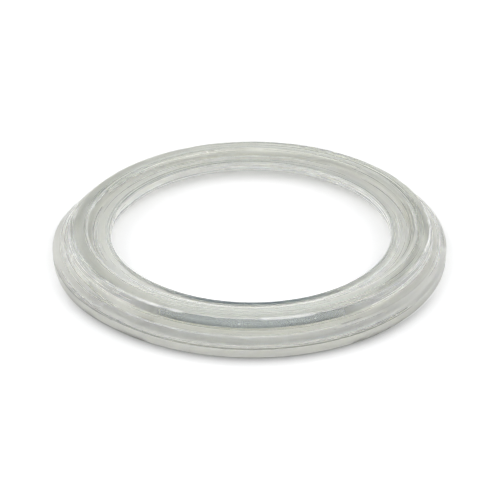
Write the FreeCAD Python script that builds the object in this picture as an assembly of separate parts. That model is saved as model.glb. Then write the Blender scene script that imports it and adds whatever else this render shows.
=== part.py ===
import FreeCAD, Part
import math
import os

os.makedirs("parts", exist_ok=True)

# Sanitary clamp gasket: one ring moulded in clear silicone, which seals the faces of two pipe
# ferrules inside a clamp. It lies with its lip down. Z is the ring's axis, and Z = 0 is the plane
# on which the lower bead and the tip of the lip rest. Lengths are in millimetres.

# Widths of the section, from the bore outwards
bore_dia = 47.5  # clear passage, the same as the pipe's inside
inner_land_width = 2.75  # flat web between the bore and the foot of the beads
bead_foot_width = 4.1  # beads where they meet the web
rim_seat_width = 1.45  # space between the lower bead and the lip, for the edge of a ferrule
lip_wall = 1.05  # lip, at its root

# Heights of the section
bead_height = 1.35  # upper bead above the web, and lower bead below it
web_thickness = 2.0
rim_height = 1.7  # outer wall, up to the edge where the sloping shoulder starts

# Slopes of the moulded walls, in degrees from the vertical
bead_outer_slope = 25.0
bead_inner_slope = 30.0
lip_inner_slope = 4.0

# Finish of the section's corners
crest_round = 0.3  # both edges of each bead's flat crest
lip_lead_in = 0.25  # inner edge of the lip's tip, which eases the lip over the ferrule
longest_cut_share = 0.45  # the most of a straight side that the finish at one of its ends takes


def radii_and_levels():
    # The radii follow one another outwards from the bore, and the levels upwards from the rest plane.
    bore = bore_dia / 2
    bead_inner = bore + inner_land_width
    bead_outer = bead_inner + bead_foot_width
    lip_inner = bead_outer + rim_seat_width
    radii = {
        "bore": bore,
        "bead_inner": bead_inner,
        "crest_inner": bead_inner + bead_height * math.tan(math.radians(bead_inner_slope)),
        "crest_outer": bead_outer - bead_height * math.tan(math.radians(bead_outer_slope)),
        "bead_outer": bead_outer,
        "lip_inner": lip_inner,
        "lip_tip": lip_inner + bead_height * math.tan(math.radians(lip_inner_slope)),
        "rim": lip_inner + lip_wall,
    }
    web_bottom = bead_height
    web_top = web_bottom + web_thickness
    levels = {
        "rest": 0.0,
        "web_bottom": web_bottom,
        "rim_edge": rim_height,
        "web_top": web_top,
        "crest": web_top + bead_height,
    }
    return radii, levels


def section_corners():
    # Each corner has a radius, a level, a finish and the finish's size. The list runs outwards
    # along the underside, up the rim and back over the top. The edges of the bore stay sharp, so
    # that no crevice is left where the ring meets the pipe.
    underside = [
        ("bore", "web_bottom", "sharp", 0),
        ("bead_inner", "web_bottom", "sharp", 0),
        ("crest_inner", "rest", "rounded", crest_round),
        ("crest_outer", "rest", "rounded", crest_round),
        ("bead_outer", "web_bottom", "sharp", 0),
        ("lip_inner", "web_bottom", "sharp", 0),
        ("lip_tip", "rest", "bevelled", lip_lead_in),
    ]
    outside = [
        ("rim", "rest", "sharp", 0),
        ("rim", "rim_edge", "sharp", 0),
    ]
    top = [
        ("bead_outer", "web_top", "sharp", 0),
        ("crest_outer", "crest", "rounded", crest_round),
        ("crest_inner", "crest", "rounded", crest_round),
        ("bead_inner", "web_top", "sharp", 0),
        ("bore", "web_top", "sharp", 0),
    ]
    radii, levels = radii_and_levels()
    return [
        (FreeCAD.Vector(radii[place], 0, levels[level]), finish, size)
        for place, level, finish, size in underside + outside + top
    ]


def finished_corner(before, corner, after, finish, size):
    # Where the outline leaves the first side and joins the second, and the edges between.
    if finish == "sharp":
        return corner, corner, []
    to_before = before - corner
    to_after = after - corner
    half_angle = to_before.getAngle(to_after) / 2
    longest_cut = longest_cut_share * min(to_before.Length, to_after.Length)
    to_before.normalize()
    to_after.normalize()
    if finish == "bevelled":
        cut = min(size, longest_cut)
        start = corner + to_before * cut
        end = corner + to_after * cut
        return start, end, [Part.LineSegment(start, end).toShape()]
    cut = min(size / math.tan(half_angle), longest_cut)
    radius = cut * math.tan(half_angle)
    inwards = to_before + to_after
    inwards.normalize()
    start = corner + to_before * cut
    middle = corner + inwards * (radius / math.sin(half_angle) - radius)
    end = corner + to_after * cut
    return start, end, [Part.Arc(start, middle, end).toShape()]


def section_outline(corners):
    count = len(corners)
    finished = []
    for i in range(count):
        corner, finish, size = corners[i]
        before = corners[i - 1][0]
        after = corners[(i + 1) % count][0]
        finished.append(finished_corner(before, corner, after, finish, size))
    edges = []
    for i in range(count):
        end = finished[i][1]
        next_start = finished[(i + 1) % count][0]
        edges.extend(finished[i][2])
        edges.append(Part.LineSegment(end, next_start).toShape())
    return Part.Wire(edges)


def gasket():
    section = Part.Face(section_outline(section_corners()))
    axis_point = FreeCAD.Vector(0, 0, 0)
    axis = FreeCAD.Vector(0, 0, 1)
    return Part.Solid(section.revolve(axis_point, axis, 360).Shells[0])


ring = gasket()
box = ring.optimalBoundingBox(False)
print("valid:", ring.isValid(), "solids:", len(ring.Solids), "faces:", len(ring.Faces))
print("volume mm3:", round(ring.Volume, 2))
print("outer diameter:", round(box.XLength, 3), "height:", round(box.ZLength, 3))
ring.exportStep("parts/gasket.step")
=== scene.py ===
import bpy
import bmesh
import math
from mathutils import Matrix, Vector


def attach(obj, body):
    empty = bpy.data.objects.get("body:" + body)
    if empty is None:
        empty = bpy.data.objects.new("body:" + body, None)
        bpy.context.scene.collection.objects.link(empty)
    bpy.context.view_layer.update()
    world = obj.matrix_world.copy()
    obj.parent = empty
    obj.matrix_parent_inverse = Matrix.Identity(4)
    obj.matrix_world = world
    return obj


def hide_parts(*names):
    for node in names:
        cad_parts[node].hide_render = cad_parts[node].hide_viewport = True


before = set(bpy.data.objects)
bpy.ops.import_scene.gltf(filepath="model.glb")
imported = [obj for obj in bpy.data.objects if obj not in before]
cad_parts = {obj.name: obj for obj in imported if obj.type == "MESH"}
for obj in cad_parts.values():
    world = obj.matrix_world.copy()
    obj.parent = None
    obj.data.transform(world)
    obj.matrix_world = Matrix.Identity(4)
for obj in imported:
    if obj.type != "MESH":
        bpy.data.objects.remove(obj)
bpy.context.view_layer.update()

scene = bpy.context.scene
mm = 0.001
sameSpot = 1e-7         # points closer than this are joined
print("frame loaded")


# small helpers for node trees

def addNode(tree, kind, place=(0, 0), **settings):
    node = tree.nodes.new(kind)
    node.location = place
    for name, value in settings.items():
        setattr(node, name, value)
    return node


def feed(tree, target, source):
    if isinstance(source, bpy.types.NodeSocket):
        tree.links.new(source, target)
    else:
        target.default_value = source


def mathNode(tree, operation, first, second=0.0, place=(0, 0)):
    node = addNode(tree, "ShaderNodeMath", place, operation=operation)
    feed(tree, node.inputs[0], first)
    feed(tree, node.inputs[1], second)
    return node.outputs[0]


def vectorNode(tree, operation, first, second=None, place=(0, 0)):
    node = addNode(tree, "ShaderNodeVectorMath", place, operation=operation)
    feed(tree, node.inputs[0], first)
    if second is not None:
        feed(tree, node.inputs["Scale" if operation == "SCALE" else 1], second)
    return node.outputs["Value" if operation in ("LENGTH", "DISTANCE", "DOT_PRODUCT") else "Vector"]


def ranged(tree, value, fromMin, fromMax, toMin, toMax, place=(0, 0)):
    node = addNode(tree, "ShaderNodeMapRange", place, interpolation_type="SMOOTHSTEP")
    feed(tree, node.inputs["Value"], value)
    feed(tree, node.inputs["From Min"], fromMin)
    feed(tree, node.inputs["From Max"], fromMax)
    feed(tree, node.inputs["To Min"], toMin)
    feed(tree, node.inputs["To Max"], toMax)
    return node.outputs["Result"]


def ringPlace(tree, position, place=(0, 0)):
    # where a point lies in the ring: its radius, its heading and its level
    x, y = place
    parts = addNode(tree, "ShaderNodeSeparateXYZ", (x, y))
    feed(tree, parts.inputs[0], position)
    flat = addNode(tree, "ShaderNodeCombineXYZ", (x + 160, y))
    feed(tree, flat.inputs["X"], parts.outputs["X"])
    feed(tree, flat.inputs["Y"], parts.outputs["Y"])
    radius = vectorNode(tree, "LENGTH", flat.outputs[0], place=(x + 320, y - 140))
    heading = vectorNode(tree, "NORMALIZE", flat.outputs[0], place=(x + 320, y))
    return radius, heading, parts.outputs["Z"]


def aroundTheRing(tree, position, along, across, place=(0, 0)):
    # noise space that is slow along the ring and fast across its section, with no seam
    x, y = place
    radius, heading, level = ringPlace(tree, position, (x, y))
    slow = vectorNode(tree, "SCALE", heading, along, place=(x + 480, y))
    quick = addNode(tree, "ShaderNodeCombineXYZ", (x + 640, y - 140))
    feed(tree, quick.inputs["Z"], mathNode(tree, "MULTIPLY", radius, across, (x + 480, y - 140)))
    together = vectorNode(tree, "ADD", slow, quick.outputs[0], place=(x + 800, y))
    return together, mathNode(tree, "MULTIPLY", level, across, (x + 480, y - 300))


# the ring: its section in millimetres and degrees, and how it is swept

ringSizes = {
    "boreRadius": 23.75,
    "innerLand": 2.75,
    "beadFoot": 4.1,
    "rimSeat": 1.45,
    "lipWall": 1.05,
    "beadHeight": 1.35,
    "webThickness": 2.0,
    "rimHeight": 1.7,
    "beadOuterSlope": 20.0,
    "beadInnerSlope": 30.0,
    "lowerBeadInset": (1.0, 0.4),
    "lipSlope": 4.0,
    "crestRound": 0.3,
    "footRound": 0.2,
    "shoulderRound": 0.35,
    "boreRound": 0.22,
    "rimRound": 0.14,
    "lipRound": 0.2,
    "sweep": {                          # named inputs of the node tree
        "Path Radius": 28.5 * mm,
        "Ring Segments": 640,
        "Corner Steps": 5,
        "Side Spacing": 0.34 * mm,
        "Wave Height": 0.04 * mm,
        "Wave Scale": 2.2,
        "Ripple Height": 0.005 * mm,
        "Ripple Along": 3.0,
        "Ripple Across": 700.0,
        "Seed": 3.0,
    },
    "unevenSides": {                    # a little out of round: heading in degrees, push outwards
        "Left Bulge": (193, 0.45 * mm),
        "Back Left Tuck": (138, -0.35 * mm),
        "Front Right Tuck": (340, -0.2 * mm),
    },
    "waveDetail": 1.0,
    "rippleDetail": 2.0,
    "sideReach": (0.74, 0.98),          # cosines between which a push sets in
    "pushAcross": (23 * mm, 33 * mm, 0.4, 1.0),     # from bore to rim, and the push at each
}


# corner by corner from the bore, each with its rounding

def sectionCorners(sizes):
    bore = sizes["boreRadius"]
    beadInner = bore + sizes["innerLand"]
    beadOuter = beadInner + sizes["beadFoot"]
    lipInner = beadOuter + sizes["rimSeat"]
    rim = lipInner + sizes["lipWall"]
    rise = sizes["beadHeight"]
    crestInner = beadInner + rise * math.tan(math.radians(sizes["beadInnerSlope"]))
    crestOuter = beadOuter - rise * math.tan(math.radians(sizes["beadOuterSlope"]))
    inset, outset = sizes["lowerBeadInset"]     # the bead underneath is a little narrower
    lipTip = lipInner + rise * math.tan(math.radians(sizes["lipSlope"]))
    webTop = rise + sizes["webThickness"]
    crest = webTop + rise
    return [
        (bore, rise, sizes["boreRound"]),
        (beadInner + inset, rise, sizes["footRound"]),
        (crestInner + inset, 0, sizes["crestRound"]),
        (crestOuter - outset, 0, sizes["crestRound"]),
        (beadOuter - outset, rise, sizes["footRound"]),
        (lipInner, rise, sizes["footRound"]),
        (lipTip, 0, sizes["lipRound"]),
        (rim, 0, sizes["rimRound"]),
        (rim, sizes["rimHeight"], sizes["rimRound"]),
        (beadOuter, webTop, sizes["shoulderRound"]),
        (crestOuter, crest, sizes["crestRound"]),
        (crestInner, crest, sizes["crestRound"]),
        (beadInner, webTop, sizes["footRound"]),
        (bore, webTop, sizes["boreRound"]),
    ]


def sectionObject(name, corners, pathRadius):
    mesh = bpy.data.meshes.new(name)
    points = []
    for radius, level, rounding in corners:
        points.append(((radius - pathRadius) * mm, -level * mm, 0))     # the sweep turns Y down
    count = len(points)
    mesh.from_pydata(points, [(i, (i + 1) % count) for i in range(count)], [])
    rounds = mesh.attributes.new("cornerRound", "FLOAT", "POINT")
    rounds.data.foreach_set("value", [rounding * mm for radius, level, rounding in corners])
    piece = bpy.data.objects.new(name, mesh)
    scene.collection.objects.link(piece)
    return piece


# the section swept round the ring, as a node tree with named inputs

def sweepTree(sizes, material):
    tree = bpy.data.node_groups.new("moulded ring sweep", "GeometryNodeTree")
    face = tree.interface
    face.new_socket("Geometry", in_out="INPUT", socket_type="NodeSocketGeometry")
    for name, value in sizes["sweep"].items():
        kind = "NodeSocketInt" if isinstance(value, int) else "NodeSocketFloat"
        face.new_socket(name, in_out="INPUT", socket_type=kind).default_value = value
    for name, (turn, push) in sizes["unevenSides"].items():
        face.new_socket(name, in_out="INPUT", socket_type="NodeSocketFloat").default_value = push
    face.new_socket("Geometry", in_out="OUTPUT", socket_type="NodeSocketGeometry")
    given = addNode(tree, "NodeGroupInput", (-1800, 0))

    # the outline: corners rounded, long sides cut into short ones
    outline = addNode(tree, "GeometryNodeMeshToCurve", (-1600, 100))
    feed(tree, outline.inputs["Mesh"], given.outputs["Geometry"])
    rounding = addNode(tree, "GeometryNodeInputNamedAttribute", (-1600, -100), data_type="FLOAT")
    rounding.inputs["Name"].default_value = "cornerRound"
    fillet = addNode(tree, "GeometryNodeFilletCurve", (-1400, 100), mode="POLY")
    feed(tree, fillet.inputs["Curve"], outline.outputs["Curve"])
    feed(tree, fillet.inputs["Count"], given.outputs["Corner Steps"])
    feed(tree, fillet.inputs["Radius"], rounding.outputs["Attribute"])
    fillet.inputs["Limit Radius"].default_value = True

    position = addNode(tree, "GeometryNodeInputPosition", (-1600, -300)).outputs["Position"]
    following = addNode(tree, "GeometryNodeOffsetPointInCurve", (-1600, -400))
    following.inputs["Offset"].default_value = 1
    there = addNode(tree, "GeometryNodeFieldAtIndex", (-1400, -300),
                    data_type="FLOAT_VECTOR", domain="POINT")
    feed(tree, there.inputs["Value"], position)
    feed(tree, there.inputs["Index"], following.outputs["Point Index"])
    side = vectorNode(tree, "DISTANCE", position, there.outputs["Value"], (-1200, -300))
    cuts = mathNode(tree, "DIVIDE", side, given.outputs["Side Spacing"], (-1000, -300))
    divided = addNode(tree, "GeometryNodeSubdivideCurve", (-800, 100))
    feed(tree, divided.inputs["Curve"], fillet.outputs["Curve"])
    feed(tree, divided.inputs["Cuts"], mathNode(tree, "FLOOR", cuts, place=(-900, -300)))

    path = addNode(tree, "GeometryNodeCurvePrimitiveCircle", (-800, 400))
    feed(tree, path.inputs["Resolution"], given.outputs["Ring Segments"])
    feed(tree, path.inputs["Radius"], given.outputs["Path Radius"])
    upright = addNode(tree, "GeometryNodeSetCurveNormal", (-600, 400), mode="Z_UP")
    feed(tree, upright.inputs["Curve"], path.outputs["Curve"])
    sweep = addNode(tree, "GeometryNodeCurveToMesh", (-400, 200))
    feed(tree, sweep.inputs["Curve"], upright.outputs["Curve"])
    feed(tree, sweep.inputs["Profile Curve"], divided.outputs["Curve"])

    # long waves round the ring
    placed = addNode(tree, "GeometryNodeInputPosition", (-1000, -600)).outputs["Position"]
    wave = addNode(tree, "ShaderNodeTexNoise", (-200, -500), noise_dimensions="4D")
    feed(tree, wave.inputs["Vector"], vectorNode(tree, "NORMALIZE", placed, place=(-800, -500)))
    feed(tree, wave.inputs["W"], given.outputs["Seed"])
    feed(tree, wave.inputs["Scale"], given.outputs["Wave Scale"])
    wave.inputs["Detail"].default_value = sizes["waveDetail"]
    drift = vectorNode(tree, "SUBTRACT", wave.outputs["Color"], (0.5, 0.5, 0.5), (0, -500))
    fullHeight = mathNode(tree, "MULTIPLY", given.outputs["Wave Height"], 2.0, (0, -620))
    drift = vectorNode(tree, "SCALE", drift, fullHeight, (160, -500))

    # fine ripples that run along it
    fine, depth = aroundTheRing(tree, placed, given.outputs["Ripple Along"],
                                given.outputs["Ripple Across"], (-800, -800))
    ripple = addNode(tree, "ShaderNodeTexNoise", (200, -800), noise_dimensions="4D")
    feed(tree, ripple.inputs["Vector"], fine)
    feed(tree, ripple.inputs["W"], mathNode(tree, "ADD", depth, given.outputs["Seed"], (60, -900)))
    ripple.inputs["Scale"].default_value = 1.0
    ripple.inputs["Detail"].default_value = sizes["rippleDetail"]
    lift = mathNode(tree, "MULTIPLY", mathNode(tree, "SUBTRACT", ripple.outputs["Fac"], 0.5),
                    mathNode(tree, "MULTIPLY", given.outputs["Ripple Height"], 2.0), (400, -800))
    outward = addNode(tree, "GeometryNodeInputNormal", (200, -650)).outputs["Normal"]
    bump = vectorNode(tree, "SCALE", outward, lift, (560, -700))

    # the sides that lie out of round
    radius, heading, level = ringPlace(tree, placed, (-1000, -1300))
    near, full = sizes["sideReach"]
    push = 0.0
    for row, (name, (turn, amount)) in enumerate(sizes["unevenSides"].items()):
        toward = (math.cos(math.radians(turn)), math.sin(math.radians(turn)), 0.0)
        facing = vectorNode(tree, "DOT_PRODUCT", heading, toward, (-400, -1300 - 300 * row))
        share = ranged(tree, facing, near, full, 0.0, given.outputs[name], (-200, -1300 - 300 * row))
        push = mathNode(tree, "ADD", share, push, (0, -1300 - 300 * row))
    across = ranged(tree, radius, *sizes["pushAcross"], (-200, -2300))
    push = mathNode(tree, "MULTIPLY", push, across, (0, -2300))
    drift = vectorNode(tree, "ADD", drift, vectorNode(tree, "SCALE", heading, push), (400, -1300))

    moved = addNode(tree, "GeometryNodeSetPosition", (600, 200))
    feed(tree, moved.inputs["Geometry"], sweep.outputs["Mesh"])
    feed(tree, moved.inputs["Offset"], vectorNode(tree, "ADD", drift, bump, (700, -500)))

    smooth = addNode(tree, "GeometryNodeSetShadeSmooth", (800, 200))
    feed(tree, smooth.inputs["Geometry"], moved.outputs["Geometry"])
    real = addNode(tree, "GeometryNodeRealizeInstances", (960, 200))
    feed(tree, real.inputs["Geometry"], smooth.outputs["Geometry"])
    coloured = addNode(tree, "GeometryNodeSetMaterial", (1120, 200))
    feed(tree, coloured.inputs["Geometry"], real.outputs["Geometry"])
    coloured.inputs["Material"].default_value = material
    result = addNode(tree, "NodeGroupOutput", (1300, 200))
    feed(tree, result.inputs["Geometry"], coloured.outputs["Geometry"])
    return tree


def setInputs(modifier, values):
    for item in modifier.node_group.interface.items_tree:
        if item.item_type == "SOCKET" and item.in_out == "INPUT" and item.name in values:
            modifier[item.identifier] = values[item.name]


def plainMesh(source, name):
    # the evaluated result of a node tree, kept as an ordinary mesh
    evaluated = source.evaluated_get(bpy.context.evaluated_depsgraph_get())
    mesh = bpy.data.meshes.new_from_object(evaluated)
    mesh.name = name
    piece = bpy.data.objects.new(name, mesh)
    scene.collection.objects.link(piece)
    bpy.data.objects.remove(source)
    shaped = bmesh.new()
    shaped.from_mesh(mesh)
    bmesh.ops.remove_doubles(shaped, verts=shaped.verts, dist=sameSpot)
    bmesh.ops.recalc_face_normals(shaped, faces=shaped.faces)
    shaped.to_mesh(mesh)
    shaped.free()
    mesh.shade_smooth()
    return piece


# silicone: clear where the mould was polished, milky and scuffed elsewhere, faint streaks all round,
# painted shade in dark lines and painted highlights in bright ones

siliconeLook = {
    "clearTint": (0.985, 0.99, 0.93, 1.0),
    "cloudTint": (0.87, 0.875, 0.815, 1.0),
    "shadeTint": (0.72, 0.72, 0.71, 1.0),
    "shadeLineTint": (0.18, 0.18, 0.16, 1.0),
    "paintedShadeTint": (0.12, 0.16, 0.20, 1.0),
    "highlightAndFrostTint": (1.0, 1.0, 0.96, 1.0),
    "clear": 0.79,                      # share of light let through
    "cloudy": 0.63,
    "polishedClear": 0.96,
    "highlightAndFrostClear": 0.25,
    "smooth": 0.255,                    # roughness
    "scuffed": 0.37,
    "polishedRoughness": 0.12,
    "ior": 1.41,
    "scatterLength": 1.6 * mm,
    "scatterTint": (1.0, 1.0, 0.9),
    "absorbTint": (0.70, 0.73, 0.63, 1.0),
    "absorbDensity": 50.0,
    "streaks": (0.55, 2400.0, 3.0, 5.0),        # along, across, detail, seed
    "clouds": (0.7, 560.0, 4.0, 9.0),
    "breaks": (5.0, 300.0, 2.0, 14.0),
    "streakDepth": 0.0042 * mm,
    "polishedStreaks": 0.3,             # what is left of them on a polished face
    "grainScale": 2600.0,
    "grainDetail": 2.0,
    "grainDepth": 0.004 * mm,
    "speckScale": 1500.0,
    "speckDetail": 0.0,
    "tintShares": (0.55, 0.45),         # of clouds and of streaks
    "tintRange": (0.38, 0.62),          # noise levels between which a finish changes
    "clearRange": (0.38, 0.68),
    "roughRange": (0.35, 0.70),
    "lineBreaks": (0.25, 0.50, 0.5, 1.0),       # noise from and to, strength from and to
    "highlightBreaks": (0.40, 0.60, 0.15, 1.0),
    "specks": (0.79, 0.87, 0.0, 0.6),
    "clearestSide": (0.0, -1.0, 0.0),
    "sideReach": (0.76, 0.985),         # cosines between which that side sets in
    "elsewhere": 0.3,                   # its finish on the rest of the ring
    "bandSoftness": 0.03,
    # bands of the section, in mm: smallest and largest radius, lowest and highest level, strength
    "polishedFaces": (
        (29.95, 31.0, 3.20, 4.62, 1.0),         # outer side of the upper bead
        (23.0, 23.98, 1.2, 3.35, 0.6),          # bore
        (23.0, 27.5, 1.2, 1.50, 1.0),           # web from below
    ),
    "shadeAndMouldLines": (
        (31.38, 31.50, 2.20, 3.20, 0.25),       # dark line on the shoulder, taken as a mould line
        (32.93, 33.90, 1.50, 1.72, 0.80),       # painted shade along the top edge of the rim
        (32.80, 33.90, -0.30, 0.20, 0.35),      # painted contact shadow at the foot of the lip
        (26.55, 27.45, 3.80, 4.90, 0.26),       # painted shade on the inner side of the upper bead
    ),
    "paintedShadeLines": (
        (23.60, 24.50, 3.10, 3.50, 0.95),       # painted shade along the edge of the bore
        (24.50, 24.80, 3.10, 3.50, 0.50),
        (27.30, 29.85, 4.50, 4.90, 0.20),       # painted shade on the crest
    ),
    "paintedHighlightEdges": (
        (29.72, 30.18, 4.50, 4.90, 0.7),        # painted highlight along the outer edge of the crest
        (31.58, 31.72, 2.20, 3.20, 0.5),        # painted highlight line on the shoulder
    ),
    "milkyFaces": (
        (23.0, 23.98, 1.40, 3.30, 0.58),        # bore
        (23.95, 26.5, 3.20, 3.50, 0.35),        # land inside the bead
        (27.35, 27.85, 4.55, 4.90, 0.60),       # inner edge of the crest: milky, and whitened as a painted highlight
        (29.95, 31.0, 3.20, 4.62, 0.45),        # outer side of the upper bead
    ),
}


def streakNoise(tree, position, along, across, detail, seed, place):
    x, y = place
    flat, depth = aroundTheRing(tree, position, along, across, (x - 1000, y))
    noise = addNode(tree, "ShaderNodeTexNoise", (x, y), noise_dimensions="4D")
    feed(tree, noise.inputs["Vector"], flat)
    feed(tree, noise.inputs["W"], mathNode(tree, "ADD", depth, seed, (x - 160, y - 120)))
    noise.inputs["Scale"].default_value = 1.0
    noise.inputs["Detail"].default_value = detail
    return noise.outputs["Fac"]


def between(tree, value, low, high, place):
    x, y = place
    low = low * mm
    high = high * mm
    soft = siliconeLook["bandSoftness"] * mm
    rising = ranged(tree, value, low - soft, low + soft, 0.0, 1.0, (x, y))
    falling = ranged(tree, value, high - soft, high + soft, 1.0, 0.0, (x, y - 260))
    return mathNode(tree, "MULTIPLY", rising, falling, (x + 180, y))


def bandMask(tree, position, bands, place):
    x, y = place
    radius, heading, level = ringPlace(tree, position, (x, y))
    total = 0.0
    for row, (inner, outer, low, high, strength) in enumerate(bands):
        down = y - 600 * row
        inRing = between(tree, radius, inner, outer, (x + 500, down))
        inLayer = between(tree, level, low, high, (x + 500, down - 300))
        layer = mathNode(tree, "MULTIPLY", inLayer, strength, (x + 720, down - 300))
        face = mathNode(tree, "MULTIPLY", inRing, layer, (x + 900, down))
        total = mathNode(tree, "MAXIMUM", face, total, (x + 1080, down))
    return total


def siliconeMaterial(look):
    material = bpy.data.materials.new("milkySilicone")
    material.use_nodes = True
    tree = material.node_tree
    shader = tree.nodes["Principled BSDF"]
    where = addNode(tree, "ShaderNodeTexCoord", (-2600, 0)).outputs["Object"]
    streak = streakNoise(tree, where, *look["streaks"], (-1400, 300))
    cloud = streakNoise(tree, where, *look["clouds"], (-1400, -200))
    broken = streakNoise(tree, where, *look["breaks"], (-1400, -900))
    grain = addNode(tree, "ShaderNodeTexNoise", (-1400, -700))
    feed(tree, grain.inputs["Vector"], where)
    grain.inputs["Scale"].default_value = look["grainScale"]
    grain.inputs["Detail"].default_value = look["grainDetail"]
    speck = addNode(tree, "ShaderNodeTexNoise", (-1400, -1200))
    feed(tree, speck.inputs["Vector"], where)
    speck.inputs["Scale"].default_value = look["speckScale"]
    speck.inputs["Detail"].default_value = look["speckDetail"]
    specks = ranged(tree, speck.outputs["Fac"], *look["specks"], (-900, -1300))

    # the finish changes round the ring: one side is clearest, the rest milkier
    heading = vectorNode(tree, "NORMALIZE", where, place=(-2600, -1200))
    facing = vectorNode(tree, "DOT_PRODUCT", heading, look["clearestSide"], (-2400, -1200))
    uneven = ranged(tree, facing, *look["sideReach"], look["elsewhere"], 1.0, (-2200, -1200))
    even = mathNode(tree, "SUBTRACT", 1.0, uneven, (-2000, -1200))
    polished = bandMask(tree, where, look["polishedFaces"], (-2600, -1400))
    polished = mathNode(tree, "MULTIPLY", polished, uneven, (-900, -1400))
    # painted shade: dark lines at the bore's edge and on the crest, strongest on the clearest side
    paintedShade = bandMask(tree, where, look["paintedShadeLines"], (-2600, -9400))
    paintedShade = mathNode(tree, "MULTIPLY", paintedShade, uneven, (-900, -800))
    milky = bandMask(tree, where, look["milkyFaces"], (-2600, -7400))
    milky = mathNode(tree, "MULTIPLY", milky, even, (-900, -1500))

    # painted shade lines (one of them a mould line on the shoulder) and painted highlights along
    # edges run all round, here and there broken
    # dark lines: painted shade at the lip foot, rim edge and inner bead side, plus one mould line
    lines = bandMask(tree, where, look["shadeAndMouldLines"], (-2600, -3400))
    lines = mathNode(tree, "MULTIPLY", lines, ranged(tree, broken, *look["lineBreaks"], (-900, -900)))
    # painted highlights along edges; whitened specks and milky faces share their pale tint and
    # milkiness
    highlightsAndFrost = bandMask(tree, where, look["paintedHighlightEdges"], (-2600, -5400))
    highlightsAndFrost = mathNode(tree, "MULTIPLY", highlightsAndFrost, ranged(tree, broken, *look["highlightBreaks"], (-900, -1100)))
    highlightsAndFrost = mathNode(tree, "MAXIMUM", highlightsAndFrost, specks, (-800, -1300))
    highlightsAndFrost = mathNode(tree, "MAXIMUM", highlightsAndFrost, milky, (-700, -1300))

    tint = addNode(tree, "ShaderNodeMix", (-600, 300), data_type="RGBA")
    cloudShare = mathNode(tree, "MULTIPLY", cloud, look["tintShares"][0], (-1200, 400))
    streakShare = mathNode(tree, "MULTIPLY", streak, look["tintShares"][1], (-1200, 250))
    mixed = mathNode(tree, "ADD", cloudShare, streakShare, (-1050, 400))
    feed(tree, tint.inputs["Factor"], ranged(tree, mixed, *look["tintRange"], 0.0, 1.0, (-900, 300)))
    tint.inputs[6].default_value = look["clearTint"]
    tint.inputs[7].default_value = look["cloudTint"]
    colour = tint.outputs[2]
    ray = addNode(tree, "ShaderNodeLightPath", (-600, 700))
    # overlays: painted shade lines, painted highlights with whitened specks and milky faces, painted
    # shade at the bore and crest, and a darker tint for diffuse rays that deepens the shadow on the
    # floor
    overlays = (
        (lines, "shadeLineTint"),
        (highlightsAndFrost, "highlightAndFrostTint"),
        (paintedShade, "paintedShadeTint"),
        (ray.outputs["Is Diffuse Ray"], "shadeTint"),     # what gets through to the floor
    )
    for row, (share, shade) in enumerate(overlays):
        over = addNode(tree, "ShaderNodeMix", (-400 + 160 * row, 300), data_type="RGBA")
        feed(tree, over.inputs["Factor"], share)
        feed(tree, over.inputs[6], colour)
        over.inputs[7].default_value = look[shade]
        colour = over.outputs[2]
    feed(tree, shader.inputs["Base Color"], colour)
    clear = ranged(tree, cloud, *look["clearRange"], look["clear"], look["cloudy"], (-900, 0))
    clear = ranged(tree, polished, 0.0, 1.0, clear, look["polishedClear"], (-600, 0))
    clear = ranged(tree, highlightsAndFrost, 0.0, 1.0, clear, look["highlightAndFrostClear"], (-400, 0))
    feed(tree, shader.inputs["Transmission Weight"], clear)
    rough = ranged(tree, streak, *look["roughRange"], look["smooth"], look["scuffed"], (-900, -250))
    rough = ranged(tree, polished, 0.0, 1.0, rough, look["polishedRoughness"], (-600, -250))
    feed(tree, shader.inputs["Roughness"], rough)
    shader.inputs["IOR"].default_value = look["ior"]
    shader.inputs["Subsurface Weight"].default_value = 1.0
    shader.inputs["Subsurface Radius"].default_value = look["scatterTint"]
    shader.inputs["Subsurface Scale"].default_value = look["scatterLength"]

    scores = addNode(tree, "ShaderNodeBump", (-600, -500))
    scores.inputs["Distance"].default_value = look["streakDepth"]
    strength = ranged(tree, polished, 0.0, 1.0, 1.0, look["polishedStreaks"], (-800, -500))
    feed(tree, scores.inputs["Strength"], strength)
    feed(tree, scores.inputs["Height"], streak)
    pits = addNode(tree, "ShaderNodeBump", (-350, -600))
    pits.inputs["Distance"].default_value = look["grainDepth"]
    feed(tree, pits.inputs["Height"], grain.outputs["Fac"])
    feed(tree, pits.inputs["Normal"], scores.outputs["Normal"])
    feed(tree, shader.inputs["Normal"], pits.outputs["Normal"])

    absorb = addNode(tree, "ShaderNodeVolumeAbsorption", (0, -400))
    absorb.inputs["Color"].default_value = look["absorbTint"]
    absorb.inputs["Density"].default_value = look["absorbDensity"]
    feed(tree, tree.nodes["Material Output"].inputs["Volume"], absorb.outputs[0])
    return material


silicone = siliconeMaterial(siliconeLook)
print("silicone mixed")
pathRadius = ringSizes["sweep"]["Path Radius"] / mm
section = sectionObject("sectionOutline", sectionCorners(ringSizes), pathRadius)
sweep = section.modifiers.new("sweep", "NODES")
sweep.node_group = sweepTree(ringSizes, silicone)
setInputs(sweep, ringSizes["sweep"])
setInputs(sweep, {name: push for name, (turn, push) in ringSizes["unevenSides"].items()})
ring = plainMesh(section, "silicone_ring")
ringSpan = [round(side / mm, 2) for side in ring.dimensions]
print("ring swept:", len(ring.data.vertices), "points, size in mm", ringSpan)
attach(ring, "root")
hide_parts("gasket")


# floor

floorLook = {
    "radius": 1.2,
    "segments": 96,
    "albedo": 0.97,
    "glow": 0.16,
    "contactReach": 3.2 * mm,           # the shade close to the lip
    "contactDepth": 1.2,
    "contactSamples": 12,
    "contactFrom": (32.7 * mm, 33.2 * mm),
    "contactSide": (0.0, -1.0, 0.0),
    "contactSpread": (0.30, 0.85),
}


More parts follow.
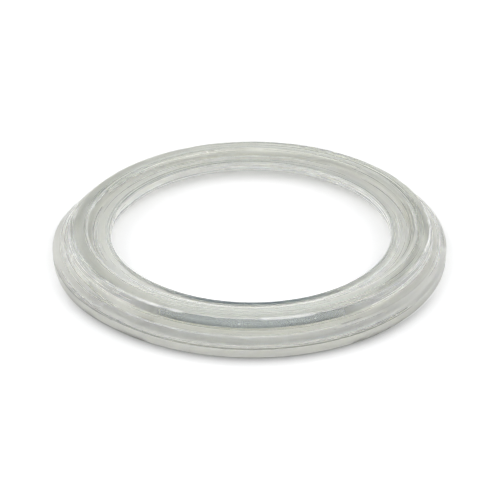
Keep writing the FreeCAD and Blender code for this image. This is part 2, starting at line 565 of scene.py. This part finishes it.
def floorPiece(look=floorLook):
    mesh = bpy.data.meshes.new("studio_floor")
    disc = bmesh.new()
    bmesh.ops.create_circle(disc, cap_ends=True, segments=look["segments"], radius=look["radius"])
    disc.to_mesh(mesh)
    disc.free()
    material = bpy.data.materials.new("paleFloor")
    material.use_nodes = True
    tree = material.node_tree
    tree.nodes.remove(tree.nodes["Principled BSDF"])
    contact = addNode(tree, "ShaderNodeAmbientOcclusion", samples=look["contactSamples"])
    contact.inputs["Distance"].default_value = look["contactReach"]
    where = addNode(tree, "ShaderNodeTexCoord", (-1200, 0)).outputs["Object"]
    heading = vectorNode(tree, "NORMALIZE", where, place=(-1000, 0))
    facing = vectorNode(tree, "DOT_PRODUCT", heading, look["contactSide"], (-800, 0))
    spread = ranged(tree, facing, *look["contactSpread"], 0.0, 1.0, (-600, 0))
    away = vectorNode(tree, "LENGTH", where, place=(-1000, -200))
    outside = ranged(tree, away, *look["contactFrom"], 0.0, 1.0, (-600, -200))
    share = mathNode(tree, "MULTIPLY", outside, spread)
    depth = mathNode(tree, "MULTIPLY", share, look["contactDepth"])
    openness = mathNode(tree, "POWER", contact.outputs["AO"], depth)
    matt = addNode(tree, "ShaderNodeBsdfDiffuse")
    feed(tree, matt.inputs["Color"], vectorNode(tree, "SCALE", (look["albedo"],) * 3, openness))
    glow = addNode(tree, "ShaderNodeEmission")
    ray = addNode(tree, "ShaderNodeLightPath")
    bent = mathNode(tree, "MAXIMUM", ray.outputs["Is Glossy Ray"],
                    ray.outputs["Is Transmission Ray"])
    seen = mathNode(tree, "MAXIMUM", ray.outputs["Is Camera Ray"], bent)
    strength = mathNode(tree, "MULTIPLY", openness, look["glow"])
    feed(tree, glow.inputs["Strength"], mathNode(tree, "MULTIPLY", seen, strength))
    both = addNode(tree, "ShaderNodeAddShader")
    feed(tree, both.inputs[0], matt.outputs[0])
    feed(tree, both.inputs[1], glow.outputs[0])
    feed(tree, tree.nodes["Material Output"].inputs["Surface"], both.outputs[0])
    mesh.materials.append(material)
    piece = bpy.data.objects.new("studio_floor", mesh)
    scene.collection.objects.link(piece)
    return piece


floorPiece()
print("floor laid")


# studio light, all from the world: a pale room with soft zones (heading, from, to, colour)

studioLight = {
    "level": 1.0,
    "background": (1.0, 1.0, 1.0, 1.0),     # what the camera sees behind the floor
    "sweep": (0.95, 0.95, 0.95, 1.0),
    "zones": (
        ((0.0, -0.94, 0.34), 0.0, 0.8, (1.25, 1.25, 1.25, 1.0)),
        ((0.0, -0.26, 0.97), 0.70, 0.92, (0.50, 0.50, 0.50, 1.0)),
        ((-0.87, 0.27, 0.41), 0.78, 0.95, (2.3, 2.3, 2.3, 1.0)),
        ((0.87, 0.27, 0.41), 0.78, 0.95, (2.3, 2.3, 2.3, 1.0)),
        ((0.0, 0.67, 0.74), 0.88, 0.97, (0.40, 0.44, 0.48, 1.0)),
        ((0.0, 0.93, 0.37), 0.88, 0.97, (0.42, 0.46, 0.50, 1.0)),
    ),
}


def studioWorld(light):
    world = bpy.data.worlds.new("softStudio")
    scene.world = world
    world.use_nodes = True
    tree = world.node_tree
    background = tree.nodes["Background"]
    where = addNode(tree, "ShaderNodeTexCoord", (-1400, 0)).outputs["Generated"]
    colour = light["sweep"]
    for row, (heading, near, full, shade) in enumerate(light["zones"]):
        toward = vectorNode(tree, "DOT_PRODUCT", where, heading, (-1200, -260 * row))
        share = ranged(tree, toward, near, full, 0.0, 1.0, (-1000, -260 * row))
        mix = addNode(tree, "ShaderNodeMix", (-800 + 180 * row, -260 * row), data_type="RGBA")
        feed(tree, mix.inputs["Factor"], share)
        feed(tree, mix.inputs[6], colour)
        mix.inputs[7].default_value = shade
        colour = mix.outputs[2]
    ray = addNode(tree, "ShaderNodeLightPath", (-200, 300))
    plain = addNode(tree, "ShaderNodeMix", (200, 0), data_type="RGBA")
    feed(tree, plain.inputs["Factor"], ray.outputs["Is Camera Ray"])
    feed(tree, plain.inputs[6], colour)
    plain.inputs[7].default_value = light["background"]
    feed(tree, background.inputs["Color"], plain.outputs[2])
    background.inputs["Strength"].default_value = light["level"]


studioWorld(studioLight)
print("studio lit")


# camera at the photograph's angle

cameraView = {
    "distance": 5 * 33.1 * mm,
    "elevation": 30.7,
    "focalPixels": 5 * 192.3,
    "frame": 500,
    "originAt": (251.6, 239.8),         # where the floor under the ring's centre lies in the frame
    "roll": 0.17,
    "sensor": 36.0,
    "nearest": 5 * mm,
}


def placeCamera(view):
    lens = bpy.data.cameras.new("camera")
    camera = bpy.data.objects.new("camera", lens)
    scene.collection.objects.link(camera)
    lens.sensor_width = view["sensor"]
    lens.lens = view["focalPixels"] / view["frame"] * view["sensor"]
    lens.shift_x = (view["frame"] / 2 - view["originAt"][0]) / view["frame"]
    lens.shift_y = (view["originAt"][1] - view["frame"] / 2) / view["frame"]
    lens.clip_start = view["nearest"]
    up = math.radians(view["elevation"])
    away = Vector((0, -math.cos(up), math.sin(up)))
    roll = Matrix.Rotation(math.radians(view["roll"]), 3, "Z").to_quaternion()
    camera.rotation_mode = "QUATERNION"
    camera.rotation_quaternion = (-away).to_track_quat("-Z", "Y") @ roll
    camera.location = away * view["distance"]
    scene.camera = camera


placeCamera(cameraView)
print("camera placed")
scene.view_settings.view_transform = "Standard"
